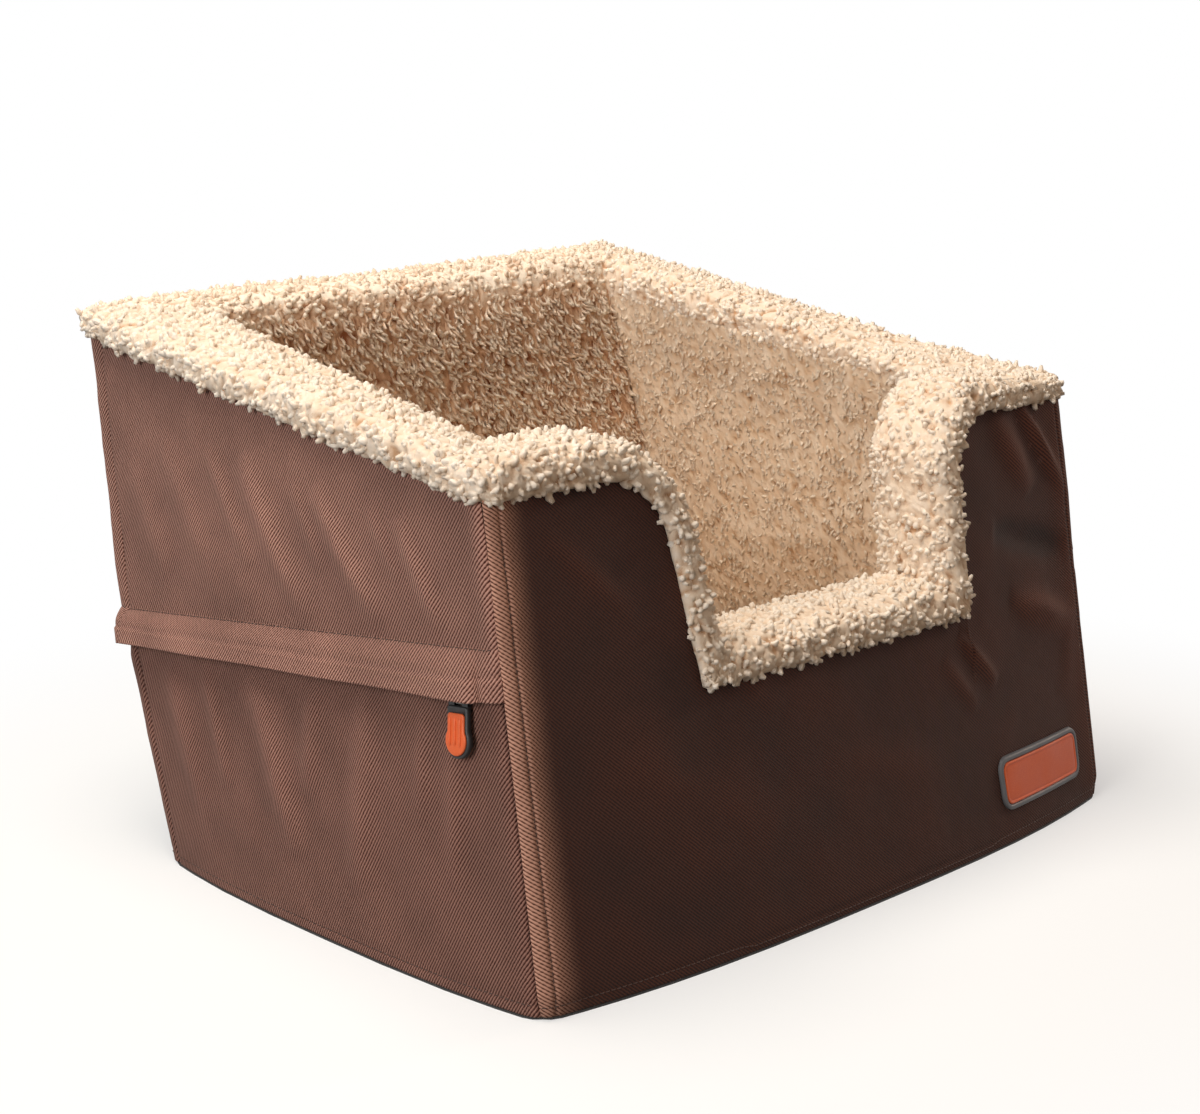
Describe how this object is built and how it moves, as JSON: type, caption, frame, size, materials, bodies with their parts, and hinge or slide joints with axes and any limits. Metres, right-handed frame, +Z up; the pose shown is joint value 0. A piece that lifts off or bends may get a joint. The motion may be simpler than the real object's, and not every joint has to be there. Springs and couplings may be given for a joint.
{
  "type": "dog car seat",
  "caption": "Padded fabric booster seat for a small dog: a flared bucket with a low front notch, a rolled fleece rim and lining, and a zip under a flap round its sides and back.",
  "frame": {"origin": "middle of the underside, halfway between the base's front and rear edges", "axes": "+X to the right seen from the front, the longest side; +Y to the back; +Z up, with the front facing -Y"},
  "size_m": [0.5294, 0.4629, 0.3377],
  "materials": {
    "twill": "woven brown twill, matt",
    "base_cloth": "black non-slip cloth",
    "board": "stiff sheet",
    "foam": "open-cell foam",
    "fleece": "curly cream pile",
    "tape": "woven zip tape",
    "nickel": "dark nickel plate",
    "black_rubber": "soft matt rubber",
    "orange_rubber": "soft matt rubber",
    "grey_rubber": "soft matt rubber",
    "webbing": "black woven webbing"
  },
  "bodies": {
    "bucket": {"front_panel": "twill", "left_lower_panel": "twill", "left_upper_panel": "twill", "right_lower_panel": "twill", "right_upper_panel": "twill", "back_lower_panel": "twill", "back_upper_panel": "twill", "left_zip_flap": "twill", "right_zip_flap": "twill", "back_zip_flap": "twill", "bottom_panel": "base_cloth", "front_board": "board", "left_lower_board": "board", "left_upper_board": "board", "right_lower_board": "board", "right_upper_board": "board", "back_lower_board": "board", "back_upper_board": "board", "base_board": "board", "deck_board": "board", "front_foam": "foam", "left_foam": "foam", "right_foam": "foam", "back_foam": "foam", "base_foam_block": "foam", "front_lining": "fleece", "left_lining": "fleece", "right_lining": "fleece", "back_lining": "fleece", "cuff_back": "fleece", "cuff_left": "fleece", "cuff_right": "fleece", "cuff_front_left": "fleece", "cuff_front_right": "fleece", "cuff_sill": "fleece", "seat_pad": "fleece", "zip_tape_upper": "tape", "zip_tape_lower": "tape", "zip_teeth_upper": "nickel", "zip_teeth_lower": "nickel", "zip_stop_left": "nickel", "zip_stop_right": "nickel", "badge_backing": "black_rubber", "badge_face": "grey_rubber", "belt_loop_left": "webbing", "belt_loop_right": "webbing", "tether_anchor": "webbing"},
    "slider": {"zip_slider": "nickel"},
    "tab": {"zip_tab": "nickel"},
    "grip": {"zip_grip": "black_rubber", "zip_grip_inlay": "orange_rubber"},
    "ring": {"tether_ring": "nickel"}
  },
  "joints": [
    {"name": "zip_slide", "type": "slide", "parent": "bucket", "child": "slider", "axis": [0.0263, 0.9944, -0.1028], "range_m": [0, 0.3075]},
    {"name": "tab_swing", "type": "hinge", "parent": "slider", "child": "tab", "pos_m": [-0.25369, -0.10445, 0.16583], "axis": [0.0263, 0.9944, -0.1028], "range_deg": [0, 7]},
    {"name": "grip_swing", "type": "hinge", "parent": "tab", "child": "grip", "pos_m": [-0.25413, -0.10547, 0.15589], "axis": [0.0263, 0.9944, -0.1028], "range_deg": [0, 60]},
    {"name": "tether_ring_swing", "type": "hinge", "parent": "bucket", "child": "ring", "pos_m": [0, 0.18517, 0.164], "axis": [-1, 0, 0], "range_deg": [0, 150]}
  ]
}
